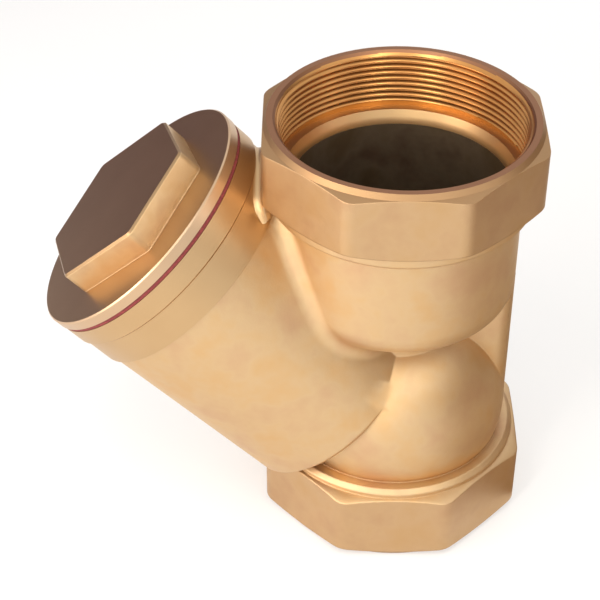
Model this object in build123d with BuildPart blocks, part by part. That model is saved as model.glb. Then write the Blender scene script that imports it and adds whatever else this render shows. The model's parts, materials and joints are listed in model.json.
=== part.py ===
"""Y-strainer for 3 inch pipe: a cast bronze body, a screwed cap, its gasket and the screen inside.

Millimetres. +Z runs up along the pipe line, from the inlet end that the strainer stands on to the
outlet end. The origin is the centre of the inlet end face. The branch leans towards -X and up.
"""

import os
from math import cos, pi, radians, sin

from build123d import *

os.makedirs("parts", exist_ok=True)

# Run: the straight way through, from inlet face to outlet face
FACE_TO_FACE = 165.0
ACROSS_FLATS = 96.0
COLLAR_SIDES = 8
COLLAR_EDGE_RADIUS = 7.5
INLET_COLLAR_HEIGHT = 29.0
OUTLET_COLLAR_HEIGHT = 26.0
RIM_RADIUS = 46.8
RIM_EDGE_DROP = 1.9
RIM_CORNER_DROP = 3.2
BACK_RADIUS = 47.4
BACK_CORNER_DROP = 2.2

# Pipe sockets: 3 inch parallel pipe thread, 11 threads to the inch, at its minor diameter
SOCKET_RADIUS = 42.463
SOCKET_DEPTH = 22.8
SOCKET_ENTRY_RADIUS = 44.6
LEDGE_RADIUS = 40.8
LEDGE_HEIGHT = 4.8

# Cast walls round the run
CAST_WALL = 4.1
BEAD_RADIUS = 46.7
BEAD_EDGE_CHAMFER = 1.6
INLET_BEAD_HEIGHT = 3.2
OUTLET_BEAD_HEIGHT = 5.0
CHAMBER_RADIUS = 42.8
CHAMBER_CENTRE_HEIGHT = 43.0
NECK_RADIUS = 42.6
NECK_BOTTOM = 89.6
NECK_CORNER_RADIUS = 12.0
CHAMBER_CORNER_CHAMFER = 4.6
CORE_RADIUS = 24.0
WEB_THICKNESS = 18.0
WEB_REACH = 42.5
WEB_EDGE_RADIUS = 5.0

# Branch: the leg that holds the screen
BRANCH_ANGLE = 43.5
BRANCH_CROSSING_HEIGHT = 25.0
BRANCH_START = 30.0
BRANCH_MOUTH = 130.4
BRANCH_START_RADIUS = 43.5
BRANCH_END_RADIUS = 45.2
BRANCH_END_CHAMFER = 2.2
MOUTH_WALL = 5.5
MOUTH_RING_LENGTH = 7.6
SECOND_RING_STEP = 0.8
SECOND_RING_LENGTH = 12.6
RING_STEP_LENGTH = 0.8
JUNCTION_FILLET = 6.0
PARTITION_THICKNESS = 5.0
SEAT_HOLE_RADIUS = 25.0
SEAT_DEPTH = 3.0

# Cap thread: 84 mm by 2 mm, modelled smooth at its pitch diameter
CAP_THREAD_RADIUS = 41.35
CAP_THREAD_CLEARANCE = 0.05
CAP_THREAD_DEPTH = 16.0
BORE_STEP = 0.5
MOUTH_ENTRY_CHAMFER = 0.8

# Cap
FLANGE_WIDTH = 5.85
FLANGE_THICKNESS = 4.0
FLANGE_EDGE_CHAMFER = 0.5
HEX_SIDES = 6
HEX_ACROSS_FLATS = 59.4
HEX_HEIGHT = 9.8
HEX_TURN = -10.4
HEX_CORNER_RADIUS = 3.0
HEX_EDGE_CHAMFER = 0.7
HEX_WALL = 7.0
CROWN_THICKNESS = 6.0
SKIRT_LENGTH = 14.0
SKIRT_WALL = 4.4
SKIRT_END_CHAMFER = 1.0
POCKET_WALL = 2.6
POCKET_DEPTH = 5.0

# Gasket
GASKET_THICKNESS = 1.5
GASKET_INSET = 0.4
GASKET_CLEARANCE = 0.1

# Screen: perforated sheet rolled into a tube
SCREEN_RADIUS = 27.0
SCREEN_SHEET = 0.9
SCREEN_CLEARANCE = 0.15
SCREEN_END_GAP = 0.3
SCREEN_HOLE_RADIUS = 4.5
SCREEN_HOLE_SIDES = 6
SCREEN_HOLES_ROUND = 8
SCREEN_HOLE_ROWS = 7
SCREEN_END_MARGIN = 8.0

# How far shapes that cut or trim run past the metal
TRIM_OVERRUN = 1.0


apothem = ACROSS_FLATS / 2
corner_radius = apothem / cos(pi / COLLAR_SIDES)
passage_radius = NECK_RADIUS - CAST_WALL
ledge_foot = SOCKET_DEPTH + LEDGE_HEIGHT
lean = radians(BRANCH_ANGLE)
branch_direction = Vector(-sin(lean), 0, cos(lean))
branch_across = Vector(cos(lean), 0, sin(lean))
branch_origin = Vector(0, 0, BRANCH_CROSSING_HEIGHT)
branch_axis = Axis(branch_origin, branch_direction)
branch_section = Plane(branch_origin, x_dir=branch_across, z_dir=(0, -1, 0))

mouth_ring_start = BRANCH_MOUTH - MOUTH_RING_LENGTH
second_ring_start = mouth_ring_start - SECOND_RING_LENGTH
partition_back = BRANCH_START + PARTITION_THICKNESS
seat_face = partition_back - SEAT_DEPTH
cap_seat = BRANCH_MOUTH + GASKET_THICKNESS + GASKET_CLEARANCE
flange_face = cap_seat + FLANGE_THICKNESS
hex_top = flange_face + HEX_HEIGHT
thread_bore_radius = CAP_THREAD_RADIUS + CAP_THREAD_CLEARANCE
mouth_ring_radius = thread_bore_radius + MOUTH_WALL
second_ring_radius = mouth_ring_radius - SECOND_RING_STEP
flange_radius = CAP_THREAD_RADIUS + FLANGE_WIDTH


def across_branch(distance: float) -> Plane:
    """Plane square to the branch axis, at a distance from where it crosses the run."""
    return Plane(branch_origin + branch_direction * distance, x_dir=branch_across, z_dir=branch_direction)


def collar_outline(height: float) -> list[tuple[float, float]]:
    """Turned outline that trims an octagonal collar, from its end face at 0 up to height."""
    outside = corner_radius + TRIM_OVERRUN
    rim_slope = (RIM_CORNER_DROP - RIM_EDGE_DROP) / (corner_radius - apothem)
    back_slope = BACK_CORNER_DROP / (corner_radius - BACK_RADIUS)
    return [
        (0, 0),
        (RIM_RADIUS, 0),
        (apothem, RIM_EDGE_DROP),
        (outside, RIM_EDGE_DROP + (outside - apothem) * rim_slope),
        (outside, height - (outside - BACK_RADIUS) * back_slope),
        (BACK_RADIUS, height),
        (0, height),
    ]


def socket_outline() -> list[tuple[float, float]]:
    """Half section of a pipe socket's hollow, from its end face at 0 inwards to the ledge's foot."""
    return [
        (0, 0),
        (SOCKET_ENTRY_RADIUS, 0),
        (SOCKET_RADIUS, SOCKET_ENTRY_RADIUS - SOCKET_RADIUS),
        (SOCKET_RADIUS, SOCKET_DEPTH),
        (LEDGE_RADIUS, SOCKET_DEPTH),
        (passage_radius, ledge_foot),
        (0, ledge_foot),
    ]


def from_outlet(outline: list[tuple[float, float]]) -> list[tuple[float, float]]:
    """Turn an outline measured inwards from an end face into one hung from the outlet face."""
    return [(radius, FACE_TO_FACE - depth) for radius, depth in outline]


# Octagonal collars, each trimmed by its turned outline
with BuildPart() as inlet_collar:
    with BuildSketch(Plane.XY):
        RegularPolygon(apothem, COLLAR_SIDES, major_radius=False, rotation=180 / COLLAR_SIDES)
        fillet(vertices(), COLLAR_EDGE_RADIUS)
    extrude(amount=INLET_COLLAR_HEIGHT)
    with BuildSketch(Plane.XZ):
        with BuildLine():
            Polyline(*collar_outline(INLET_COLLAR_HEIGHT), close=True)
        make_face()
    revolve(axis=Axis.Z, mode=Mode.INTERSECT)

with BuildPart() as outlet_collar:
    with BuildSketch(Plane.XY.offset(FACE_TO_FACE - OUTLET_COLLAR_HEIGHT)):
        RegularPolygon(apothem, COLLAR_SIDES, major_radius=False, rotation=180 / COLLAR_SIDES)
        fillet(vertices(), COLLAR_EDGE_RADIUS)
    extrude(amount=OUTLET_COLLAR_HEIGHT)
    with BuildSketch(Plane.XZ):
        with BuildLine():
            Polyline(*from_outlet(collar_outline(OUTLET_COLLAR_HEIGHT)), close=True)
        make_face()
    revolve(axis=Axis.Z, mode=Mode.INTERSECT)

# Hollow of the inlet chamber: the ball and the way up to it, stopped at the partition
with BuildPart() as inlet_hollow:
    with BuildSketch(Plane.XZ):
        with BuildLine():
            Polyline(
                (0, ledge_foot - TRIM_OVERRUN),
                (passage_radius, ledge_foot - TRIM_OVERRUN),
                (passage_radius, CHAMBER_CENTRE_HEIGHT),
                (0, CHAMBER_CENTRE_HEIGHT),
                close=True,
            )
        make_face()
    revolve(axis=Axis.Z)
    with Locations((0, 0, CHAMBER_CENTRE_HEIGHT)):
        Sphere(CHAMBER_RADIUS - CAST_WALL)
    split(bisect_by=across_branch(BRANCH_START), keep=Keep.BOTTOM)

with BuildPart() as casting:
    # Neck
    with BuildSketch(Plane.XZ):
        with Locations((0, NECK_BOTTOM)):
            Rectangle(
                NECK_RADIUS,
                FACE_TO_FACE - OUTLET_COLLAR_HEIGHT - NECK_BOTTOM + OUTLET_BEAD_HEIGHT,
                align=(Align.MIN, Align.MIN),
            )
        fillet(vertices().group_by(Axis.X)[-1].sort_by(Axis.Y)[0], NECK_CORNER_RADIUS)
    revolve(axis=Axis.Z)

    # Branch tube, and the fillet where it meets the neck
    with BuildSketch(branch_section):
        with BuildLine():
            Polyline(
                (0, BRANCH_START),
                (BRANCH_START_RADIUS, BRANCH_START),
                (BRANCH_END_RADIUS, mouth_ring_start),
                (0, mouth_ring_start),
                close=True,
            )
        make_face()
        chamfer(vertices().group_by(Axis.Y)[0].sort_by(Axis.X)[-1], BRANCH_END_CHAMFER)
    revolve(axis=branch_axis)
    fillet(edges().filter_by(GeomType.BSPLINE) + edges().filter_by(GeomType.ELLIPSE), JUNCTION_FILLET)

    # Turned rings at the branch's mouth
    with BuildSketch(branch_section):
        with BuildLine():
            Polyline(
                (0, second_ring_start - RING_STEP_LENGTH),
                (BRANCH_START_RADIUS, second_ring_start - RING_STEP_LENGTH),
                (second_ring_radius, second_ring_start),
                (second_ring_radius, mouth_ring_start - RING_STEP_LENGTH),
                (mouth_ring_radius, mouth_ring_start),
                (mouth_ring_radius, BRANCH_MOUTH),
                (0, BRANCH_MOUTH),
                close=True,
            )
        make_face()
    revolve(axis=branch_axis)

    # Ball of the inlet chamber, the core and the web that tie it to the neck
    with Locations((0, 0, CHAMBER_CENTRE_HEIGHT)):
        Sphere(CHAMBER_RADIUS)
    with BuildSketch(Plane.XY.offset(CHAMBER_CENTRE_HEIGHT)):
        Circle(CORE_RADIUS)
        with Locations((WEB_REACH / 2, 0)):
            RectangleRounded(WEB_REACH, WEB_THICKNESS, WEB_EDGE_RADIUS)
    extrude(amount=NECK_BOTTOM + NECK_CORNER_RADIUS - CHAMBER_CENTRE_HEIGHT)

    # Collars, and the beads that they end in
    add(inlet_collar.part)
    add(outlet_collar.part)
    with BuildSketch(Plane.XZ):
        with Locations((0, INLET_COLLAR_HEIGHT)):
            Rectangle(BEAD_RADIUS, INLET_BEAD_HEIGHT, align=(Align.MIN, Align.MIN))
        chamfer(vertices().group_by(Axis.X)[-1].sort_by(Axis.Y)[-1], BEAD_EDGE_CHAMFER)
    revolve(axis=Axis.Z)
    with BuildSketch(Plane.XZ):
        with Locations((0, FACE_TO_FACE - OUTLET_COLLAR_HEIGHT)):
            Rectangle(BEAD_RADIUS, OUTLET_BEAD_HEIGHT, align=(Align.MIN, Align.MAX))
        chamfer(vertices().group_by(Axis.X)[-1].sort_by(Axis.Y)[0], BEAD_EDGE_CHAMFER)
    revolve(axis=Axis.Z)

    # Pipe sockets
    with BuildSketch(Plane.XZ):
        with BuildLine():
            Polyline(*socket_outline(), close=True)
        make_face()
        with BuildLine():
            Polyline(*from_outlet(socket_outline()), close=True)
        make_face()
    revolve(axis=Axis.Z, mode=Mode.SUBTRACT)

    # Chambers
    add(inlet_hollow.part, mode=Mode.SUBTRACT)
    with BuildSketch(Plane.XZ):
        with Locations((0, NECK_BOTTOM + CAST_WALL)):
            Rectangle(
                passage_radius,
                FACE_TO_FACE - ledge_foot - NECK_BOTTOM - CAST_WALL,
                align=(Align.MIN, Align.MIN),
            )
        chamfer(vertices().group_by(Axis.X)[-1].sort_by(Axis.Y)[0], CHAMBER_CORNER_CHAMFER)
    revolve(axis=Axis.Z, mode=Mode.SUBTRACT)

    # Hole and seat in the partition, the branch's bore and its thread
    with BuildSketch(branch_section):
        with BuildLine():
            Polyline(
                (0, BRANCH_START - PARTITION_THICKNESS),
                (SEAT_HOLE_RADIUS, BRANCH_START - PARTITION_THICKNESS),
                (SEAT_HOLE_RADIUS, seat_face),
                (SCREEN_RADIUS + SCREEN_CLEARANCE, seat_face),
                (SCREEN_RADIUS + SCREEN_CLEARANCE, partition_back),
                (BRANCH_START_RADIUS - CAST_WALL, partition_back),
                (BRANCH_END_RADIUS - CAST_WALL - BORE_STEP, BRANCH_MOUTH - CAP_THREAD_DEPTH),
                (thread_bore_radius, BRANCH_MOUTH - CAP_THREAD_DEPTH),
                (thread_bore_radius, BRANCH_MOUTH - MOUTH_ENTRY_CHAMFER),
                (thread_bore_radius + MOUTH_ENTRY_CHAMFER, BRANCH_MOUTH),
                (0, BRANCH_MOUTH),
                close=True,
            )
        make_face()
    revolve(axis=branch_axis, mode=Mode.SUBTRACT)

casting.part.label = "body"
export_step(casting.part, "parts/body.step")

with BuildPart() as cap:
    # Flange, skirt and the ring that centres the screen
    with BuildSketch(branch_section):
        with BuildLine():
            Polyline(
                (0, cap_seat),
                (CAP_THREAD_RADIUS - SKIRT_WALL, cap_seat),
                (CAP_THREAD_RADIUS - SKIRT_WALL, cap_seat - SKIRT_LENGTH),
                (CAP_THREAD_RADIUS - SKIRT_END_CHAMFER, cap_seat - SKIRT_LENGTH),
                (CAP_THREAD_RADIUS, cap_seat - SKIRT_LENGTH + SKIRT_END_CHAMFER),
                (CAP_THREAD_RADIUS, cap_seat),
                (flange_radius, cap_seat),
                (flange_radius, flange_face - FLANGE_EDGE_CHAMFER),
                (flange_radius - FLANGE_EDGE_CHAMFER, flange_face),
                (0, flange_face),
                close=True,
            )
        make_face()
        with Locations((SCREEN_RADIUS + SCREEN_CLEARANCE, cap_seat)):
            Rectangle(POCKET_WALL, POCKET_DEPTH, align=(Align.MIN, Align.MAX))
    revolve(axis=branch_axis)

    # Hexagon, cored out under its crown
    with BuildSketch(across_branch(flange_face)):
        RegularPolygon(HEX_ACROSS_FLATS / 2, HEX_SIDES, major_radius=False, rotation=HEX_TURN)
        fillet(vertices(), HEX_CORNER_RADIUS)
    extrude(amount=HEX_HEIGHT)
    chamfer(edges().group_by(branch_axis)[-1], HEX_EDGE_CHAMFER)
    with BuildSketch(across_branch(cap_seat)):
        Circle(HEX_ACROSS_FLATS / 2 - HEX_WALL)
    extrude(amount=hex_top - CROWN_THICKNESS - cap_seat, mode=Mode.SUBTRACT)

cap.part.label = "cap"
export_step(cap.part, "parts/cap.step")

with BuildPart() as gasket:
    with BuildSketch(across_branch(BRANCH_MOUTH)):
        Circle(flange_radius - GASKET_INSET)
        Circle(CAP_THREAD_RADIUS + GASKET_INSET, mode=Mode.SUBTRACT)
    extrude(amount=GASKET_THICKNESS)

gasket.part.label = "gasket"
export_step(gasket.part, "parts/gasket.step")

screen_length = cap_seat - SCREEN_END_GAP - seat_face
hole_pitch = (screen_length - 2 * SCREEN_END_MARGIN) / (SCREEN_HOLE_ROWS - 1)

with BuildPart() as screen:
    with BuildSketch(across_branch(seat_face)):
        Circle(SCREEN_RADIUS)
        Circle(SCREEN_RADIUS - SCREEN_SHEET, mode=Mode.SUBTRACT)
    extrude(amount=screen_length)
    for row in range(SCREEN_HOLE_ROWS):
        row_centre = across_branch(seat_face + SCREEN_END_MARGIN + row * hole_pitch)
        for place in range(SCREEN_HOLES_ROUND):
            turn = 360 / SCREEN_HOLES_ROUND * (place + row % 2 / 2)
            with BuildSketch(row_centre.rotated((0, 0, turn)).rotated((0, 90, 0))):
                RegularPolygon(SCREEN_HOLE_RADIUS, SCREEN_HOLE_SIDES)
            extrude(amount=SCREEN_RADIUS + TRIM_OVERRUN, mode=Mode.SUBTRACT)

screen.part.label = "screen"
export_step(screen.part, "parts/screen.step")
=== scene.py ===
"""Studio picture of a bronze Y-strainer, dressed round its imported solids.

+Z runs up the pipe line from the inlet end on the floor, and the branch leans towards -X. Casting,
cap and gasket are copies of their solids, the first two with cut threads, and the screen is made anew
with fine holes. The sizes in the classes of the pieces are in mm, those of the studio in metres.
"""

import json
import logging
from collections.abc import Callable
from dataclasses import dataclass, field
from enum import Enum
from math import cos, hypot, pi, radians, sin, sqrt, tan, tau
from typing import ClassVar

import bpy
from mathutils import Matrix, Vector

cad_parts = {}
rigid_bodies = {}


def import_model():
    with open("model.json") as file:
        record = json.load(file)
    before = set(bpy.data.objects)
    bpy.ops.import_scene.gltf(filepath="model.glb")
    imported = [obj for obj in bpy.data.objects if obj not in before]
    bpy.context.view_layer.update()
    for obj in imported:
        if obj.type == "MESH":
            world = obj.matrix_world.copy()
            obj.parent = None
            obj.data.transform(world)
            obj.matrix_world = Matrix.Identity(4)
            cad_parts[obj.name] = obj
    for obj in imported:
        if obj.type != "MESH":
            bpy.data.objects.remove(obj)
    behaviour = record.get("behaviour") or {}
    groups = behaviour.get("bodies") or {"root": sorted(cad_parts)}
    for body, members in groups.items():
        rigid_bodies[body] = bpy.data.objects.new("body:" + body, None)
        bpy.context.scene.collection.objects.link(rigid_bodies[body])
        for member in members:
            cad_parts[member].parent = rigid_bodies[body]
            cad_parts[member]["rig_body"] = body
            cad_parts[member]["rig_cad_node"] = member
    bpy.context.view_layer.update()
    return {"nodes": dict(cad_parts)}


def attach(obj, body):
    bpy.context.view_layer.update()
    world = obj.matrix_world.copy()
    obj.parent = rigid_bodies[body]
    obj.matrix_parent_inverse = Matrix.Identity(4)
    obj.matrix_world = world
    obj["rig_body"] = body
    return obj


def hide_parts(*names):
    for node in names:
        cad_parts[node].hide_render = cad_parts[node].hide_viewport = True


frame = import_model()

log = logging.getLogger("strainer")
MM = 0.001
NEAR = 0.01
"""Slack in mm where the place of a face is compared with a limit."""
MERGE = 0.002
"""Points of a mesh that lie nearer than this, in mm, are one."""
MIX_A, MIX_B, MIX_RESULT = 6, 7, 2
"""Numbers of the colour sockets of a Mix node."""
CAP_PITCH = 2.0
"""Pitch in mm of the thread between cap and mouth."""
"""Where the boxes of the solids and of the dressed part are written for comparison."""


def linear(code: str) -> tuple[float, float, float, float]:
    """Turns an sRGB colour into the linear values that shaders take.

    Args:
        code: Six hex digits after a hash.

    Returns:
        Linear red, green, blue and an alpha of 1.
    """
    channels = [int(code[place : place + 2], 16) / 255 for place in (1, 3, 5)]
    values = [c / 12.92 if c <= 0.04045 else ((c + 0.055) / 1.055) ** 2.4 for c in channels]
    return (*values, 1.0)


def add_node(
    tree: bpy.types.NodeTree, kind: str, inputs: dict[str | int, object] | None = None, **settings: object
) -> bpy.types.Node:
    """Adds a shader node with its settings, values and links.

    Args:
        tree: The node tree that takes the node.
        kind: Blender's identifier of the node type.
        inputs: Socket names or numbers, each with a value or with the output socket to link.
        **settings: Properties of the node.

    Returns:
        The new node.
    """
    made = tree.nodes.new(kind)
    for name, value in settings.items():
        setattr(made, name, value)
    for socket, value in (inputs or {}).items():
        if isinstance(value, bpy.types.NodeSocket):
            tree.links.new(value, made.inputs[socket])
        else:
            made.inputs[socket].default_value = value
    return made


def set_stops(ramp: bpy.types.Node, stops: list[tuple[float, str]]) -> None:
    """Gives a colour ramp its stops.

    Args:
        ramp: The ramp node.
        stops: Positions from 0 to 1, each with an sRGB colour.
    """
    elements = ramp.color_ramp.elements
    while len(elements) < len(stops):
        elements.new(0.5)
    for element, (position, code) in zip(elements, stops):
        element.position = position
        element.color = linear(code)


@dataclass(frozen=True)
class Finish:
    """A surface as it was made. Subclasses draw its nodes."""

    name: str

    def material(self) -> bpy.types.Material:
        """Builds the finish as a node material.

        Returns:
            The material, with its nodes drawn by the subclass.
        """
        made = bpy.data.materials.new(self.name)
        made.use_nodes = True
        tree = made.node_tree
        tree.nodes.clear()
        shader = self.draw(tree)
        add_node(tree, "ShaderNodeOutputMaterial", {"Surface": shader.outputs[0]})
        return made

    def draw(self, tree: bpy.types.NodeTree) -> bpy.types.Node:
        """Draws the finish.

        Args:
            tree: The empty node tree of its material.

        Returns:
            The shader node that ends it.
        """
        raise NotImplementedError


@dataclass(frozen=True)
class CastBronze(Finish):
    """Sand-cast bronze, shot-blasted and barrelled: a soft satin skin with faint waves and grain.

    The eye gets broad soft highlights, patches that lean to pink or to gold, a fine tooth, and edges rounded
    and paler from the barrel. Shade in inner corners is painted: the colour turns browner where ambient
    occlusion finds the surface closed in.
    """

    pale: str = "#D5B68C"
    gold: str = "#D5B080"
    pink: str = "#D0AC86"
    patch_mm: float = 16.0
    wave_mm: float = 7.0
    grain_mm: float = 0.9
    roughness: float = 0.5
    # painted shade: the brown that the colour turns to in inner corners, and how far the occlusion looks
    crease: str = "#A87C54"
    crease_mm: float = 4.0
    edge_mm: float = 0.9
    gloss_range: float = 0.03

    def draw(self, tree: bpy.types.NodeTree) -> bpy.types.Node:
        """Draws the finish.

        Args:
            tree: The empty node tree of its material.

        Returns:
            The shader node that ends it.
        """
        place = add_node(tree, "ShaderNodeTexCoord").outputs["Object"]
        round_edge = add_node(tree, "ShaderNodeBevel", {"Radius": self.edge_mm * MM}, samples=6)
        # painted shade: ambient occlusion measures how closed in the surface is, to darken the colour there
        reach = add_node(
            tree, "ShaderNodeAmbientOcclusion", {"Distance": self.crease_mm * MM}, samples=6, only_local=True
        )
        worn = add_node(
            tree,
            "ShaderNodeMapRange",
            {"Value": reach.outputs["AO"], "From Min": 0.2, "From Max": 0.65},
        )
        patches = add_node(
            tree,
            "ShaderNodeTexNoise",
            {"Vector": place, "Scale": 1 / (self.patch_mm * MM), "Detail": 3.0, "Roughness": 0.55},
        )
        colour = add_node(tree, "ShaderNodeValToRGB", {"Fac": patches.outputs["Fac"]})
        set_stops(colour, [(0.32, self.pink), (0.5, self.pale), (0.68, self.gold)])
        # mixes the painted corner shade into the skin's colour
        skin = add_node(
            tree,
            "ShaderNodeMix",
            {"Factor": worn.outputs["Result"], MIX_A: linear(self.crease), MIX_B: colour.outputs["Color"]},
            data_type="RGBA",
        )
        waves = add_node(
            tree, "ShaderNodeTexNoise", {"Vector": place, "Scale": 1 / (self.wave_mm * MM), "Detail": 2.0}
        )
        grain = add_node(
            tree, "ShaderNodeTexNoise", {"Vector": place, "Scale": 1 / (self.grain_mm * MM), "Detail": 3.0}
        )
        gloss = add_node(
            tree,
            "ShaderNodeMapRange",
            {
                "Value": waves.outputs["Fac"],
                "From Min": 0.3,
                "From Max": 0.7,
                "To Min": self.roughness - self.gloss_range,
                "To Max": self.roughness + self.gloss_range,
            },
        )
        swell = add_node(
            tree,
            "ShaderNodeBump",
            {
                "Height": waves.outputs["Fac"],
                "Strength": 0.12,
                "Distance": 0.5 * MM,
                "Normal": round_edge.outputs["Normal"],
            },
        )
        tooth = add_node(
            tree,
            "ShaderNodeBump",
            {
                "Height": grain.outputs["Fac"],
                "Strength": 0.35,
                "Distance": 0.08 * MM,
                "Normal": swell.outputs["Normal"],
            },
        )
        return add_node(
            tree,
            "ShaderNodeBsdfPrincipled",
            {
                "Base Color": skin.outputs[MIX_RESULT],
                "Metallic": 1.0,
                "Roughness": gloss.outputs["Result"],
                "Normal": tooth.outputs["Normal"],
            },
        )


@dataclass(frozen=True)
class TurnedBronze(Finish):
    """Bronze cut on a lathe: brighter than the cast skin, with fine tool lines round its axis.

    The tool lines are about 0.2 mm apart on the real part and drawn at 0.8 mm, so that they show.
    """

    colour: str = "#CE8E5C"
    second: str = "#B9764A"
    origin: tuple[float, float, float] = (0.0, 0.0, 0.0)
    lean: float = 0.0
    line_mm: float = 0.8
    patch_mm: float = 22.0
    roughness: float = 0.3

    def draw(self, tree: bpy.types.NodeTree) -> bpy.types.Node:
        """Draws the finish.

        Args:
            tree: The empty node tree of its material.

        Returns:
            The shader node that ends it.
        """
        place = add_node(tree, "ShaderNodeTexCoord").outputs["Object"]
        shifted = add_node(
            tree,
            "ShaderNodeVectorMath",
            {0: place, 1: self.origin},
            operation="SUBTRACT",
        )
        turned = add_node(
            tree,
            "ShaderNodeVectorRotate",
            {"Vector": shifted.outputs["Vector"], "Angle": self.lean},
            rotation_type="Y_AXIS",
        )
        parts = add_node(tree, "ShaderNodeSeparateXYZ", {"Vector": turned.outputs["Vector"]})
        flat = add_node(tree, "ShaderNodeCombineXYZ", {"X": parts.outputs["X"], "Y": parts.outputs["Y"]})
        radius = add_node(tree, "ShaderNodeVectorMath", {0: flat.outputs["Vector"]}, operation="LENGTH")
        along = add_node(
            tree,
            "ShaderNodeCombineXYZ",
            {"X": radius.outputs["Value"], "Y": parts.outputs["Z"]},
        )
        lines = add_node(
            tree,
            "ShaderNodeTexNoise",
            {"Vector": along.outputs["Vector"], "Scale": 1 / (self.line_mm * MM), "Detail": 1.0},
        )
        patches = add_node(
            tree, "ShaderNodeTexNoise", {"Vector": place, "Scale": 1 / (self.patch_mm * MM), "Detail": 2.0}
        )
        colour = add_node(
            tree,
            "ShaderNodeMix",
            {"Factor": patches.outputs["Fac"], MIX_A: linear(self.colour), MIX_B: linear(self.second)},
            data_type="RGBA",
        )
        bump = add_node(
            tree, "ShaderNodeBump", {"Height": lines.outputs["Fac"], "Strength": 0.25, "Distance": 0.06 * MM}
        )
        return add_node(
            tree,
            "ShaderNodeBsdfPrincipled",
            {
                "Base Color": colour.outputs[MIX_RESULT],
                "Metallic": 1.0,
                "Roughness": self.roughness,
                "Normal": bump.outputs["Normal"],
            },
        )


@dataclass(frozen=True)
class FibreSheet(Finish):
    """Compressed fibre gasket sheet: matt, dark red, with short fibres pressed flat in it."""

    colour: str = "#6E2226"
    fibre: str = "#8C3A36"
    fibre_mm: float = 1.6

    def draw(self, tree: bpy.types.NodeTree) -> bpy.types.Node:
        """Draws the finish.

        Args:
            tree: The empty node tree of its material.

        Returns:
            The shader node that ends it.
        """
        place = add_node(tree, "ShaderNodeTexCoord").outputs["Object"]
        fibres = add_node(
            tree,
            "ShaderNodeTexNoise",
            {"Vector": place, "Scale": 1 / (self.fibre_mm * MM), "Detail": 6.0, "Distortion": 1.5},
        )
        colour = add_node(tree, "ShaderNodeValToRGB", {"Fac": fibres.outputs["Fac"]})
        set_stops(colour, [(0.35, self.colour), (0.7, self.fibre)])
        bump = add_node(
            tree, "ShaderNodeBump", {"Height": fibres.outputs["Fac"], "Strength": 0.3, "Distance": 0.1 * MM}
        )
        return add_node(
            tree,
            "ShaderNodeBsdfPrincipled",
            {
                "Base Color": colour.outputs["Color"],
                "Roughness": 0.75,
                "Normal": bump.outputs["Normal"],
            },
        )


@dataclass(frozen=True)
class StainlessSheet(Finish):
    """Cold-rolled stainless sheet, pickled after welding: grey, half bright, with a rolling grain."""

    colour: str = "#B9B6B0"
    shade: str = "#9A978F"
    grain_mm: float = 0.5

    def draw(self, tree: bpy.types.NodeTree) -> bpy.types.Node:
        """Draws the finish.

        Args:
            tree: The empty node tree of its material.

        Returns:
            The shader node that ends it.
        """
        place = add_node(tree, "ShaderNodeTexCoord").outputs["Object"]
        stretched = add_node(tree, "ShaderNodeMapping", {"Vector": place, "Scale": (1.0, 1.0, 0.08)})
        grain = add_node(
            tree,
            "ShaderNodeTexNoise",
            {"Vector": stretched.outputs["Vector"], "Scale": 1 / (self.grain_mm * MM), "Detail": 2.0},
        )
        colour = add_node(tree, "ShaderNodeValToRGB", {"Fac": grain.outputs["Fac"]})
        set_stops(colour, [(0.3, self.shade), (0.7, self.colour)])
        bump = add_node(
            tree, "ShaderNodeBump", {"Height": grain.outputs["Fac"], "Strength": 0.15, "Distance": 0.03 * MM}
        )
        return add_node(
            tree,
            "ShaderNodeBsdfPrincipled",
            {
                "Base Color": colour.outputs["Color"],
                "Metallic": 1.0,
                "Roughness": 0.34,
                "Normal": bump.outputs["Normal"],
            },
        )


@dataclass(frozen=True)
class Line:
    """A straight axis that pieces are turned round: the pipe line or the branch's axis.

    Attributes:
        origin: A point on the axis, in mm.
        lean: Angle from +Z towards -X, in degrees.
    """

    origin: tuple[float, float, float] = (0.0, 0.0, 0.0)
    lean: float = 0.0

    def matrix(self, start: float = 0.0, flipped: bool = False) -> Matrix:
        """Gives the placing of a piece built along +Z.

        Args:
            start: Where the piece's own origin lies on the axis, in mm.
            flipped: Whether the piece points back along the axis.

        Returns:
            The matrix in metres.
        """
        turn = Matrix.Rotation(-radians(self.lean), 4, "Y")
        over = Matrix.Rotation(pi if flipped else 0.0, 4, "X")
        base = Matrix.Translation(Vector(self.origin) * MM)
        return base @ turn @ Matrix.Translation((0, 0, start * MM)) @ over

    def split(self, point: Vector) -> tuple[float, float]:
        """Measures a point against the axis.

        Args:
            point: The point, in metres.

        Returns:
            Distance along the axis and distance from it, in mm.
        """
        local = self.matrix().inverted() @ point
        return local.z / MM, hypot(local.x, local.y) / MM

    def turning(self) -> dict[str, object]:
        """Gives a turned finish the axis that its tool lines run round."""
        return {"origin": tuple(value * MM for value in self.origin), "lean": radians(self.lean)}


RUN = Line()
BRANCH = Line(origin=(0.0, 0.0, 25.0), lean=43.5)


def pick(*objects: bpy.types.Object) -> None:
    """Selects only these objects and makes the first one active.

    Args:
        *objects: The objects to select.
    """
    bpy.ops.object.select_all(action="DESELECT")
    for item in objects:
        item.select_set(True)
    bpy.context.view_layer.objects.active = objects[0]


def settle(item: bpy.types.Object, smooth: float = 35.0) -> None:
    """Merges doubled points, turns the normals outwards and shades by angle.

    Args:
        item: A mesh object.
        smooth: Angle in degrees under which an edge is shaded round.
    """
    pick(item)
    bpy.ops.object.transform_apply(location=True, rotation=True, scale=True)
    bpy.ops.object.mode_set(mode="EDIT")
    bpy.ops.mesh.select_all(action="SELECT")
    bpy.ops.mesh.remove_doubles(threshold=MERGE * MM)
    bpy.ops.mesh.normals_make_consistent(inside=False)
    bpy.ops.object.mode_set(mode="OBJECT")
    bpy.ops.object.shade_smooth_by_angle(angle=radians(smooth))


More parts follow.
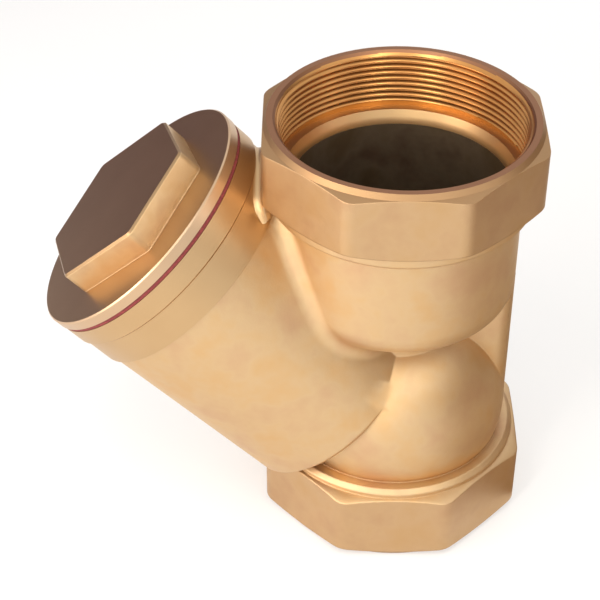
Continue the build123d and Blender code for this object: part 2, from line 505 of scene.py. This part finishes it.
def solid_copy(node: str, name: str) -> bpy.types.Object:
    """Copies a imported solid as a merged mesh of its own.

    Args:
        node: The solid's node.
        name: Name of the copy.

    Returns:
        The copy at the origin, free of its body.
    """
    pick(frame["nodes"][node])
    bpy.ops.object.duplicate()
    made = bpy.context.object
    bpy.ops.object.parent_clear(type="CLEAR_KEEP_TRANSFORM")
    made.name = name
    made.data.name = name
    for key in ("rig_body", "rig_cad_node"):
        del made[key]
    if made.data.has_custom_normals:
        bpy.ops.mesh.customdata_custom_splitnormals_clear()
    settle(made)
    return made


def drop_faces(item: bpy.types.Object, test: Callable[[Vector], bool]) -> int:
    """Deletes the faces that pass a test on their centre.

    Args:
        item: A mesh object.
        test: Takes a face's centre in metres and says whether the face goes.

    Returns:
        How many faces went.
    """
    pick(item)
    bpy.ops.object.mode_set(mode="EDIT")
    bpy.ops.mesh.select_mode(type="FACE")
    bpy.ops.mesh.select_all(action="DESELECT")
    bpy.ops.object.mode_set(mode="OBJECT")
    marks = [test(face.center) for face in item.data.polygons]
    item.data.polygons.foreach_set("select", marks)
    bpy.ops.object.mode_set(mode="EDIT")
    bpy.ops.mesh.delete(type="FACE")
    bpy.ops.object.mode_set(mode="OBJECT")
    return sum(marks)


def paint(item: bpy.types.Object, finishes: list[Finish], choose: Callable[[Vector, Vector], int]) -> None:
    """Gives each face one of several finishes.

    Args:
        item: A mesh object.
        finishes: The finishes, in slot order.
        choose: Takes a face's centre and normal and returns the slot's number.
    """
    item.data.materials.clear()
    for finish in finishes:
        item.data.materials.append(finish.material())
    slots = [choose(face.center, face.normal) for face in item.data.polygons]
    item.data.polygons.foreach_set("material_index", slots)


@dataclass(frozen=True)
class Thread:
    """A turned thread, built along +Z from its inner end at 0 to the face that it opens at.

    Sizes are in mm.

    Attributes:
        pitch: Distance from crest to crest.
        minor: Least radius.
        major: Greatest radius.
        length: Length of the wall.
        plain: Length of the undercut, without thread.
        plain_at_face: Whether the undercut lies at the face rather than at the inner end.
        inner_radius: Radius that the wall ends in at 0.
        face_radius: Radius that the wall ends in at its length.
        inside: Whether this is a nut's thread, which its end bevels open.
        steps: Corners of one turn.
    """

    pitch: float
    minor: float
    major: float
    length: float
    plain: float
    plain_at_face: bool
    inner_radius: float
    face_radius: float
    inside: bool
    steps: int = 144

    SNAP: ClassVar[float] = 0.3
    """Points of the undercut that lie nearer to its end than this go to its corner."""

    WELD: ClassVar[float] = 0.001
    """Points of the winding that lie nearer than this are one."""

    PROFILE: ClassVar[tuple[float, ...]] = (0.0, 0.1, 0.3, 0.5, 0.72, 0.94, 1.0, 0.94, 0.72, 0.5, 0.3, 0.1)
    """The tooth: share of the depth at even steps along one pitch."""

    def wall(self, height: float, radius: float) -> tuple[float, float]:
        """Trims one point of the winding to the wall.

        Args:
            height: Distance from the inner end.
            radius: The winding's radius there.

        Returns:
            Height and radius of the trimmed point.
        """
        if height <= 0:
            return 0.0, self.inner_radius
        if height >= self.length:
            return self.length, self.face_radius
        relief = self.length - height if self.plain_at_face else height
        if relief < self.plain:
            corner = self.length if self.plain_at_face else 0.0
            return corner if relief < self.SNAP else height, self.major if self.inside else self.minor
        if self.inside:
            return height, max(radius, self.face_radius - (self.length - height))
        return height, min(radius, self.inner_radius + height)

    def build(self, name: str, place: Matrix) -> bpy.types.Object:
        """Winds the thread with a screw modifier and trims it to its wall.

        Args:
            name: Name of the mesh object.
            place: Where the thread's axis and inner end lie.

        Returns:
            The wall as an open mesh.
        """
        depth = self.major - self.minor
        count = len(self.PROFILE)
        points = []
        for step in range(count + 1):
            radius = self.minor + depth * self.PROFILE[step % count]
            points.append((radius * MM, 0.0, (step / count - 1) * self.pitch * MM))
        data = bpy.data.meshes.new(name)
        data.from_pydata(points, [(step, step + 1) for step in range(count)], [])
        made = bpy.data.objects.new(name, data)
        bpy.context.collection.objects.link(made)
        pick(made)
        screw = made.modifiers.new("winding", "SCREW")
        screw.axis = "Z"
        screw.angle = tau
        screw.screw_offset = self.pitch * MM
        screw.steps = self.steps
        screw.render_steps = self.steps
        screw.iterations = int(self.length / self.pitch) + 2
        screw.use_merge_vertices = True
        screw.merge_threshold = self.WELD * MM
        bpy.ops.object.modifier_apply(modifier=screw.name)
        for point in made.data.vertices:
            radius = hypot(point.co.x, point.co.y)
            height, trimmed = self.wall(point.co.z / MM, radius / MM)
            scale = trimmed * MM / radius
            point.co = (point.co.x * scale, point.co.y * scale, height * MM)
        made.matrix_world = place
        pick(made)
        bpy.ops.object.transform_apply(location=True, rotation=True, scale=True)
        bpy.ops.object.mode_set(mode="EDIT")
        bpy.ops.mesh.select_all(action="SELECT")
        bpy.ops.mesh.dissolve_degenerate(threshold=self.WELD * MM)
        bpy.ops.object.mode_set(mode="OBJECT")
        return made


class CapSkin(Enum):
    """Where a face of the cap lies, by its finish's slot."""

    FACE = 0
    SIDE = 1
    THREAD = 2
    # inside of the cap, which takes a darker copy of the cast skin as painted shade
    HOLLOW = 3
    EDGE = 4


class Skin(Enum):
    """Where a face of the casting lies, by its finish's slot."""

    CAST = 0
    RIM = 1
    BEVEL = 2
    THREAD = 3
    LEDGE = 4
    # inner walls, which take a darker copy of the cast skin as painted shade
    HOLLOW = 5
    RING = 6
    # the octagon's flats, with a darker copy of the cast skin as painted shade
    FLAT = 7


@dataclass
class Casting:
    """The body: octagonal ends, neck, ball and branch, with cut threads in its three openings.

    Sizes are in mm and repeat the solid's. A slope is the upright part of a face's normal, and a
    slack is how far past a limit a face may lie.
    """

    face_to_face: float = 165.0
    socket_depth: float = 22.8
    socket_radius: float = 42.463
    socket_root: float = 43.942
    socket_pitch: float = 2.309
    entry_radius: float = 44.6
    entry_height: float = 0.9
    undercut: float = 2.6
    ledge_height: float = 4.8
    rim_radius: float = 46.8
    rim_slack: float = 2.0
    rim_depth: float = 0.05
    bevel_height: float = 4.1
    bevel_slope: float = 0.3
    flat_height: float = 29.0
    flat_slope: float = 0.2
    corner_radius: float = 52.5
    web_wall: float = 47.5
    web_corner: float = 19.9
    web_branch: float = 45.9
    web_tangent: float = 6.5
    web_half: float = 21.2
    web_fade: float = 6.0
    web_taper: float = 0.5
    web_shell: float = 2.5
    web_columns: int = 52
    web_rows: int = 12
    mouth: float = 130.4
    mouth_bore: float = 41.4
    mouth_root: float = 42.6
    mouth_thread: float = 16.0
    mouth_entry: float = 42.2
    mouth_plain: float = 1.2
    mouth_undercut: float = 0.6
    bore_slack: float = 0.1
    ring_start: float = 109.0
    ring_radius: float = 47.5
    hollow_radius: float = 41.7
    branch_start: float = 30.3
    ball_height: float = 43.0
    ball_inside: float = 41.0
    neck_floor: float = 93.3
    neck_inside: float = 38.7
    body: bpy.types.Object = field(init=False)

    def pipe_thread(self) -> Thread:
        """Gives the 3 inch parallel pipe thread of an end, 11 to the inch.

        Returns:
            The thread, from the ledge to the end face.
        """
        return Thread(
            pitch=self.socket_pitch,
            minor=self.socket_radius,
            major=self.socket_root,
            length=self.socket_depth,
            plain=self.undercut,
            plain_at_face=False,
            inner_radius=self.socket_radius,
            face_radius=self.entry_radius,
            inside=True,
        )

    def cap_thread(self) -> Thread:
        """Gives the thread that holds the cap in the branch's mouth.

        Returns:
            The thread, from its undercut to the mouth's face.
        """
        return Thread(
            pitch=CAP_PITCH,
            minor=self.mouth_bore,
            major=self.mouth_root,
            length=self.mouth_thread,
            plain=self.mouth_plain,
            plain_at_face=False,
            inner_radius=self.mouth_bore,
            face_radius=self.mouth_entry,
            inside=True,
        )

    def smooth_bore(self, centre: Vector) -> bool:
        """Says whether a face lies on a bore that a cut thread replaces.

        Args:
            centre: The face's centre, in metres.

        Returns:
            Whether the face gives way.
        """
        height, radius = RUN.split(centre)
        end = min(height, self.face_to_face - height)
        socket = NEAR < end < self.socket_depth - NEAR and radius < self.entry_radius
        along, out = BRANCH.split(centre)
        thread = self.mouth - self.mouth_thread + NEAR < along < self.mouth - NEAR
        return socket or (thread and out < self.mouth_entry)

    def skin(self, centre: Vector, normal: Vector) -> int:
        """Chooses the finish of a face by its place.

        Args:
            centre: The face's centre, in metres.
            normal: The face's normal.

        Returns:
            The number of its skin.
        """
        height, radius = RUN.split(centre)
        end = min(height, self.face_to_face - height)
        along, out = BRANCH.split(centre)
        if end < self.rim_depth and radius < self.rim_radius + self.rim_slack:
            return Skin.RIM.value
        if end < self.bevel_height and radius > self.rim_radius and abs(normal.z) > self.bevel_slope:
            return Skin.BEVEL.value
        # the flats take a darker copy of the cast skin, painted shade
        on_flat = self.rim_radius < radius < self.corner_radius and abs(normal.z) < self.flat_slope
        if end < self.flat_height and on_flat:
            return Skin.FLAT.value
        if end < self.socket_depth - NEAR and radius < self.entry_radius + self.bore_slack:
            return Skin.RIM.value if end < self.entry_height else Skin.THREAD.value
        if end < self.socket_depth + self.ledge_height and radius < self.socket_root:
            return Skin.LEDGE.value
        mouth_floor = self.mouth - self.mouth_thread - self.mouth_undercut
        if along > mouth_floor and out < self.mouth_root + self.bore_slack:
            return Skin.THREAD.value
        if along > self.ring_start and out < self.ring_radius:
            outside = out > self.mouth_root or along > self.mouth - self.bore_slack
            return Skin.RING.value if outside else Skin.HOLLOW.value
        from_ball = (centre - Vector((0, 0, self.ball_height * MM))).length / MM
        in_ball = from_ball < self.ball_inside
        in_branch = along > self.branch_start and out < self.hollow_radius
        in_neck = height > self.neck_floor and radius < self.neck_inside
        # inner walls of ball, branch and neck get the darker skin, painted shade
        return Skin.HOLLOW.value if in_ball or in_branch or in_neck else Skin.CAST.value

    def web_place(self, across: float, turn: float) -> Vector:
        """Places a point of the web's face, which rolls from the collar's wall to the branch.

        Args:
            across: Distance from the casting's middle plane, in mm.
            turn: Way round the face, from 0 at the wall to 1 at the branch.

        Returns:
            The point in metres.
        """
        lean = radians(BRANCH.lean)
        wall = -self.web_wall + max(0.0, abs(across) - self.web_corner)
        reach = sqrt(self.web_branch**2 - across**2)
        along = (reach * cos(lean) - wall) / sin(lean)
        fade = max(0.0, 1 - (self.web_half - abs(across)) / self.web_fade)
        tangent = self.web_tangent * (1 - self.web_taper * fade * fade)
        radius = tangent * tan(lean / 2)
        height = BRANCH.origin[2] + along * cos(lean) + reach * sin(lean) + tangent
        angle = (lean - pi) * turn
        return Vector((wall - radius + radius * cos(angle), across, height + radius * sin(angle))) * MM

    def add_web(self) -> bpy.types.Object:
        """Fills the groove between the upper collar and the branch as the casting does.

        Returns:
            The web as a closed shell that reaches into both walls.
        """
        bpy.ops.object.select_all(action="DESELECT")
        bpy.ops.mesh.primitive_grid_add(x_subdivisions=self.web_columns, y_subdivisions=self.web_rows, size=1)
        web = bpy.context.object
        web.name = "collar_web"
        for point in web.data.vertices:
            point.co = self.web_place(point.co.x * 2 * self.web_half, point.co.y + 0.5)
        shell = web.modifiers.new("shell", "SOLIDIFY")
        shell.thickness = self.web_shell * MM
        shell.offset = -1
        bpy.ops.object.modifier_apply(modifier=shell.name)
        return web

    def build(self) -> None:
        """Copies the solid and puts cut threads in place of its smooth bores."""
        self.body = solid_copy("body", "casting")
        gone = drop_faces(self.body, self.smooth_bore)
        log.info("casting: %d bore faces give way to threads", gone)
        socket = self.pipe_thread()
        top = socket.build("outlet_thread", RUN.matrix(self.face_to_face - self.socket_depth))
        low = socket.build("inlet_thread", RUN.matrix(self.socket_depth, flipped=True))
        mouth = self.cap_thread().build("mouth_thread", BRANCH.matrix(self.mouth - self.mouth_thread))
        pick(self.body, top, low, mouth, self.add_web())
        bpy.ops.object.join()
        settle(self.body)

    def dress(self) -> None:
        """Gives the casting its finishes and lets it ride on its body."""
        finishes = [
            CastBronze("cast_skin"),
            # painted shade: the turned rim and its bevel are darkened to brown in their colour
            TurnedBronze("turned_rim", colour="#8E6448", second="#9A6F54", roughness=0.42),
            TurnedBronze("turned_bevel", colour="#B3906A", second="#AC8862", roughness=0.5),
            TurnedBronze("cut_thread", colour="#CF9A5E", second="#C0844A", roughness=0.3),
            TurnedBronze("turned_ledge", colour="#E8C592", second="#DDB27C", roughness=0.4),
            # painted shade: a darker copy of the cast skin for the inner walls
            CastBronze("hollow_skin", pale="#6F5F4C", gold="#64523C", pink="#5E4A3A", roughness=0.7),
            TurnedBronze(
                "turned_mouth", colour="#CEAD82", second="#C4A176", roughness=0.38, **BRANCH.turning()
            ),
            # painted shade: the cast skin made a little darker on the octagon's flats
            CastBronze("wrench_flat", pale="#C8A67E", gold="#C6A276", pink="#C29E78", roughness=0.48),
        ]
        paint(self.body, finishes, self.skin)
        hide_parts("body")
        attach(self.body, "body")
        log.info("casting: %d faces", len(self.body.data.polygons))


@dataclass
class Cap:
    """The screwed cap: flange, hexagon and threaded skirt.

    Sizes are in mm. Where they sort the faces, they lie a little past the face that they part.
    """

    seat: float = 132.0
    skirt: float = 14.0
    thread_radius: float = 41.35
    thread_crest: float = 41.34
    thread_root: float = 40.1
    skirt_chamfer: float = 1.0
    skirt_inside: float = 37.35
    skirt_plain: float = 1.6
    skirt_slack: float = 0.1
    flange_face: float = 136.3
    flange_radius: float = 46.6
    side_slope: float = 0.5
    body: bpy.types.Object = field(init=False)

    def smooth_skirt(self, centre: Vector) -> bool:
        """Says whether a face lies on the skirt's smooth outside.

        Args:
            centre: The face's centre, in metres.

        Returns:
            Whether the face gives way to the cut thread.
        """
        along, out = BRANCH.split(centre)
        on_skirt = self.seat - self.skirt + NEAR < along < self.seat - NEAR
        inner, outer = self.thread_radius - self.skirt_chamfer, self.thread_radius + self.skirt_slack
        return on_skirt and inner < out < outer

    def skin(self, centre: Vector, normal: Vector) -> int:
        """Chooses the finish of a face by its place.

        Args:
            centre: The face's centre, in metres.
            normal: The face's normal.

        Returns:
            The number of its skin.
        """
        along, out = BRANCH.split(centre)
        if out < self.thread_radius - 2 * NEAR and along < self.seat:
            return CapSkin.HOLLOW.value if out < self.skirt_inside else CapSkin.THREAD.value
        if out > self.flange_radius:
            return CapSkin.EDGE.value
        if along > self.flange_face and abs(normal.dot(BRANCH.matrix().col[2].xyz)) < self.side_slope:
            return CapSkin.SIDE.value
        return CapSkin.FACE.value if along > self.seat + 5 * NEAR else CapSkin.HOLLOW.value

    def build(self) -> None:
        """Copies the solid and cuts the skirt's thread."""
        self.body = solid_copy("cap", "screwed_cap")
        drop_faces(self.body, self.smooth_skirt)
        thread = Thread(
            pitch=CAP_PITCH,
            minor=self.thread_root,
            major=self.thread_crest,
            length=self.skirt,
            plain=self.skirt_plain,
            plain_at_face=True,
            inner_radius=self.thread_radius - self.skirt_chamfer,
            face_radius=self.thread_radius,
            inside=False,
        )
        winding = thread.build("skirt_thread", BRANCH.matrix(self.seat - self.skirt))
        pick(self.body, winding)
        bpy.ops.object.join()
        settle(self.body)

    def dress(self) -> None:
        """Gives the cap its finishes and lets it ride on its body."""
        turned = BRANCH.turning()
        finishes = [
            TurnedBronze("cap_face", colour="#B0906C", second="#A28360", roughness=0.36, **turned),
            CastBronze("hexagon_side", pale="#D6B78C", gold="#D0AC7E", pink="#CAA680", roughness=0.42),
            TurnedBronze("cap_thread", colour="#CE8C50", second="#BC7A40", roughness=0.36, **turned),
            # painted shade: a darker copy of the cast skin for the cap's inside
            CastBronze("cap_hollow", pale="#B09468", gold="#A08252", pink="#96785A", roughness=0.55),
            TurnedBronze("cap_edge", colour="#D2B594", second="#CCAA88", roughness=0.36, **turned),
        ]
        paint(self.body, finishes, self.skin)
        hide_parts("cap")
        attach(self.body, "cap")
        log.info("cap: %d faces", len(self.body.data.polygons))


@dataclass
class Gasket:
    """The fibre ring under the cap's flange. Its edge is rounded by so many mm and segments."""

    edge: float = 0.25
    segments: int = 2
    sharp: float = 40.0
    body: bpy.types.Object = field(init=False)

    def build(self) -> None:
        """Copies the ring and rounds its cut edges a little."""
        self.body = solid_copy("gasket", "fibre_ring")
        pick(self.body)
        bevel = self.body.modifiers.new("edges", "BEVEL")
        bevel.width = self.edge * MM
        bevel.segments = self.segments
        bevel.limit_method = "ANGLE"
        bevel.angle_limit = radians(self.sharp)
        bpy.ops.object.modifier_apply(modifier=bevel.name)

    def dress(self) -> None:
        """Gives the ring its finish and lets it ride on its body."""
        self.body.data.materials.clear()
        self.body.data.materials.append(FibreSheet("fibre_sheet").material())
        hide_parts("gasket")
        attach(self.body, "gasket")
        log.info("gasket: %d faces", len(self.body.data.polygons))


@dataclass
class Screen:
    """The strainer screen: perforated sheet rolled into a tube, with plain ends and a lap seam.

    Sizes are in mm, and start and end lie on the branch's axis.
    """

    start: float = 32.0
    end: float = 131.7
    radius: float = 27.0
    sheet: float = 0.9
    columns: int = 42
    rows: int = 25
    hole: float = 1.25
    plain: float = 5.0
    lap: float = 5.0
    lap_end: float = 0.4
    lap_columns: int = 8
    lap_share: float = 0.8
    inset: float = 0.3
    smooth: float = 50.0
    body: bpy.types.Object = field(init=False)

    def flat(
        self, name: str, columns: int, size: tuple[float, float], middle: tuple[float, float]
    ) -> bpy.types.Object:
        """Lays a flat piece of sheet in the XY plane.

        Args:
            name: Name of the piece.
            columns: How many faces it has across.
            size: Its width and height in mm.
            middle: Where its middle lies, in mm.

        Returns:
            The piece, one face high.
        """
        bpy.ops.object.select_all(action="DESELECT")
        bpy.ops.mesh.primitive_grid_add(x_subdivisions=columns, y_subdivisions=1, size=MM)
        made = bpy.context.object
        made.name = name
        made.scale = (*size, 1)
        made.location = (middle[0] * MM, middle[1] * MM, 0)
        bpy.ops.object.transform_apply(location=True, rotation=True, scale=True)
        return made

    def cell(self, width: float, height: float) -> bpy.types.Object:
        """Punches one hole in a small piece of sheet, as a ring of eight quads.

        Args:
            width: Distance between holes in a row.
            height: Distance between rows.

        Returns:
            The flat cell, one corner at the origin.
        """
        bpy.ops.object.select_all(action="DESELECT")
        bpy.ops.mesh.primitive_grid_add(x_subdivisions=2, y_subdivisions=2, size=MM)
        made = bpy.context.object
        made.name = "screen_cell"
        made.scale = (width, height, 1)
        bpy.ops.object.transform_apply(location=True, rotation=True, scale=True)
        bpy.ops.object.mode_set(mode="EDIT")
        bpy.ops.mesh.select_mode(type="FACE")
        bpy.ops.mesh.select_all(action="SELECT")
        bpy.ops.mesh.dissolve_faces()
        bpy.ops.mesh.inset(thickness=self.inset * MM)
        bpy.ops.transform.tosphere(value=1.0)
        bpy.ops.object.mode_set(mode="OBJECT")
        reach = max(point.co.length for point in made.data.vertices if point.select)
        shrink = self.hole * MM / reach
        bpy.ops.object.mode_set(mode="EDIT")
        bpy.ops.transform.resize(value=(shrink, shrink, 1), center_override=(0, 0, 0))
        bpy.ops.mesh.delete(type="FACE")
        bpy.ops.object.mode_set(mode="OBJECT")
        made.location = (width / 2 * MM, height / 2 * MM, 0)
        bpy.ops.object.transform_apply(location=True, rotation=True, scale=True)
        return made

    def repeat(self, item: bpy.types.Object, count: int, step: tuple[float, float, float]) -> None:
        """Repeats a piece with an array modifier and applies it.

        Args:
            item: The piece.
            count: How many there are in the end.
            step: Distance from one to the next, in mm.
        """
        pick(item)
        array = item.modifiers.new("row", "ARRAY")
        array.count = count
        array.use_relative_offset = False
        array.use_constant_offset = True
        array.constant_offset_displace = Vector(step) * MM
        array.use_merge_vertices = True
        array.merge_threshold = NEAR * MM
        bpy.ops.object.modifier_apply(modifier=array.name)

    def roll(self, item: bpy.types.Object, radius: float) -> None:
        """Rolls a flat sheet round +Z, its width round the axis and its height along it.

        Args:
            item: The sheet.
            radius: The tube's radius, in mm.
        """
        for point in item.data.vertices:
            angle = point.co.x / (radius * MM)
            point.co = (radius * MM * cos(angle), radius * MM * sin(angle), point.co.y)

    def thicken(self, item: bpy.types.Object, thickness: float) -> None:
        """Gives a rolled sheet its thickness, inwards.

        Args:
            item: The sheet.
            thickness: Its thickness, in mm.
        """
        pick(item)
        thick = item.modifiers.new("sheet", "SOLIDIFY")
        thick.thickness = thickness * MM
        thick.offset = -1
        bpy.ops.object.modifier_apply(modifier=thick.name)

    def build(self) -> None:
        """Punches the flat sheet, thickens it and rolls it round the branch's axis."""
        length = self.end - self.start
        width = tau * self.radius / self.columns
        height = (length - 2 * self.plain) / self.rows
        even = self.cell(width, height)
        self.repeat(even, self.columns, (width, 0, 0))
        pick(even)
        bpy.ops.object.duplicate()
        odd = bpy.context.object
        odd.location = (width / 2 * MM, height * MM, 0)
        self.repeat(even, self.rows - self.rows // 2, (0, 2 * height, 0))
        self.repeat(odd, self.rows // 2, (0, 2 * height, 0))
        ends = []
        for side, middle in (("low", -self.plain / 2), ("high", length - 1.5 * self.plain)):
            size = (self.columns * width, self.plain)
            ends.append(self.flat("screen_" + side, 2 * self.columns, size, (size[0] / 2, middle)))
        pick(even, odd, *ends)
        bpy.ops.object.join()
        self.body = even
        self.body.name = "perforated_screen"
        self.body.data.name = "perforated_screen"
        self.roll(self.body, self.radius)
        self.body.matrix_world = BRANCH.matrix(self.start + self.plain)
        settle(self.body)
        self.thicken(self.body, self.sheet)
        self.add_seam(length)
        settle(self.body, self.smooth)

    def add_seam(self, length: float) -> None:
        """Adds the lap seam: the sheet's inner edge, welded flat inside the tube.

        Args:
            length: The tube's length, in mm.
        """
        size = (self.lap, length - 2 * self.lap_end)
        seam = self.flat("screen_seam", self.lap_columns, size, (0.0, length / 2))
        self.roll(seam, self.radius - self.sheet)
        self.thicken(seam, self.sheet * self.lap_share)
        seam.matrix_world = BRANCH.matrix(self.start)
        pick(self.body, seam)
        bpy.ops.object.join()

    def dress(self) -> None:
        """Gives the screen its finish and lets it ride on its body."""
        self.body.data.materials.clear()
        self.body.data.materials.append(StainlessSheet("screen_sheet").material())
        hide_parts("screen")
        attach(self.body, "screen")
        log.info("screen: %d faces", len(self.body.data.polygons))


@dataclass
class Studio:
    """White floor and backdrop, soft lamps and the camera at the photograph's view."""

    floor_half: float = 3.0
    floor_gap: float = 0.0003
    floor_glow: float = 0.5
    sensor: float = 36.0
    lens: float = 97.52
    eye: tuple[float, float, float] = (-0.0308, -0.4691, 0.4584)
    tilt: float = 51.48
    roll: float = 0.54

    def floor(self) -> None:
        """Lays a pale floor under the strainer."""
        bpy.ops.mesh.primitive_plane_add(size=2 * self.floor_half, location=(0, 0, -self.floor_gap))
        plane = bpy.context.object
        plane.name = "floor"
        paper = bpy.data.materials.new("white_paper")
        paper.use_nodes = True
        tree = paper.node_tree
        tree.nodes.clear()
        shader = add_node(tree, "ShaderNodeBsdfDiffuse", {"Color": linear("#FBFAF8")})
        glow = add_node(tree, "ShaderNodeEmission", {"Color": linear("#FFFFFF"), "Strength": 1.0})
        share = add_node(
            tree,
            "ShaderNodeMath",
            {0: self.direct_rays(tree), 1: self.floor_glow},
            operation="MULTIPLY",
        )
        mixed = add_node(
            tree,
            "ShaderNodeMixShader",
            {0: share.outputs[0], 1: shader.outputs[0], 2: glow.outputs[0]},
        )
        add_node(tree, "ShaderNodeOutputMaterial", {"Surface": mixed.outputs[0]})
        plane.data.materials.append(paper)

    def direct_rays(self, tree: bpy.types.NodeTree) -> bpy.types.NodeSocket:
        """Tells rays that see the floor, straight or mirrored, from rays that are lit by it.

        Args:
            tree: The node tree that takes the nodes.

        Returns:
            A socket that is 1 for camera, glossy and transmission rays.
        """
        path = add_node(tree, "ShaderNodeLightPath")
        first = add_node(
            tree,
            "ShaderNodeMath",
            {0: path.outputs["Is Camera Ray"], 1: path.outputs["Is Glossy Ray"]},
            operation="MAXIMUM",
        )
        both = add_node(
            tree,
            "ShaderNodeMath",
            {0: first.outputs[0], 1: path.outputs["Is Transmission Ray"]},
            operation="MAXIMUM",
        )
        return both.outputs[0]

    def world(self) -> None:
        """Makes the backdrop white all round."""
        sky = bpy.data.worlds.new("backdrop")
        bpy.context.scene.world = sky
        sky.use_nodes = True
        tree = sky.node_tree
        tree.nodes.clear()
        seen = add_node(tree, "ShaderNodeBackground", {"Color": linear("#FFFFFF"), "Strength": 1.0})
        add_node(tree, "ShaderNodeOutputWorld", {"Surface": seen.outputs[0]})

    def lamp(
        self, name: str, power: float, size: tuple[float, float], place: Vector, aim: Vector, tint: str
    ) -> None:
        """Hangs one softbox.

        Args:
            name: The lamp's name.
            power: Its power in watts.
            size: Its width and height in metres.
            place: Where it hangs.
            aim: The point that it faces.
            tint: Its sRGB colour.
        """
        data = bpy.data.lights.new(name, "AREA")
        data.shape = "RECTANGLE"
        data.size, data.size_y = size
        data.energy = power
        data.color = linear(tint)[:3]
        made = bpy.data.objects.new(name, data)
        made.location = place
        made.rotation_euler = (aim - place).to_track_quat("-Z", "Y").to_euler()
        bpy.context.collection.objects.link(made)

    def card(
        self,
        name: str,
        place: Vector,
        aim: Vector,
        size: tuple[float, float],
        shade: str,
        soft: bool = True,
    ) -> None:
        """Sets a dark card that the metal mirrors and the camera doesn't see.

        Args:
            name: The card's name.
            place: Its centre.
            aim: The point that it faces.
            size: Its width and height in metres.
            shade: Its sRGB colour.
            soft: Whether it dims the soft light too, which a card close over the floor must not.
        """
        bpy.ops.mesh.primitive_plane_add(size=1, location=place)
        made = bpy.context.object
        made.name = name
        made.rotation_euler = (aim - place).to_track_quat("Z", "Y").to_euler()
        made.scale = (size[0], size[1], 1)
        cloth = bpy.data.materials.new(name)
        cloth.use_nodes = True
        cloth.node_tree.nodes.clear()
        shader = add_node(cloth.node_tree, "ShaderNodeBsdfDiffuse", {"Color": linear(shade)})
        add_node(cloth.node_tree, "ShaderNodeOutputMaterial", {"Surface": shader.outputs[0]})
        made.data.materials.append(cloth)
        made.visible_camera = False
        made.visible_shadow = False
        made.visible_diffuse = soft

    def camera(self) -> None:
        """Sets the camera where the photograph was taken from."""
        data = bpy.data.cameras.new("camera")
        data.sensor_width = self.sensor
        data.lens = self.lens
        data.clip_start = 0.01
        made = bpy.data.objects.new("camera", data)
        made.location = self.eye
        made.rotation_euler = (radians(self.tilt), 0.0, radians(self.roll))
        bpy.context.collection.objects.link(made)
        bpy.context.scene.camera = made

    def build(self) -> None:
        """Sets up floor, backdrop, lamps, cards and camera."""
        middle = Vector((-0.03, 0.0, 0.09))
        self.floor()
        self.world()
        self.lamp("key_left", 2.4, (0.06, 0.6), Vector((-0.33, -0.5, 0.85)), middle, "#FFFCF2")
        self.lamp("key_right", 1.6, (0.05, 0.6), Vector((0.26, -0.5, 0.85)), middle, "#FFFCF2")
        self.lamp("side", 1.0, (0.3, 0.8), Vector((0.75, -0.3, 0.3)), middle, "#FFFFFF")
        self.lamp("left", 5.5, (0.4, 0.8), Vector((-0.75, -0.45, 0.25)), middle, "#FFF2E6")
        self.lamp("front", 1.2, (0.5, 0.25), Vector((-0.2, -1.0, 0.42)), middle, "#FFF6E8")
        self.card("flag", Vector((-0.4, 0.39, 0.17)), Vector((-0.1, 0.0, 0.13)), (0.7, 0.5), "#6E6270")
        self.card("right_flag", Vector((0.24, -0.02, 0.1)), Vector((0.0, -0.02, 0.1)), (0.5, 0.24), "#8C7A66")
        self.card("back_flag", Vector((0.42, 0.16, 0.27)), Vector((-0.1, 0.0, 0.14)), (0.45, 0.3), "#665C54")
        low = Vector((0.12, 0.01, 0.003))
        self.card("low_flag", low, low + Vector((0, 0, 1)), (0.14, 0.22), "#A8947C", soft=False)
        self.camera()
        bpy.context.scene.view_settings.view_transform = "Standard"
        log.info("studio: camera at %s", self.eye)


def main() -> None:
    """Builds the strainer piece by piece, dresses it and sets up the picture."""
    logging.basicConfig(level=logging.INFO, format="%(name)s: %(message)s")
    for piece in (Casting(), Cap(), Gasket(), Screen()):
        piece.build()
        piece.dress()
    Studio().build()


if __name__ == "__main__":
    main()
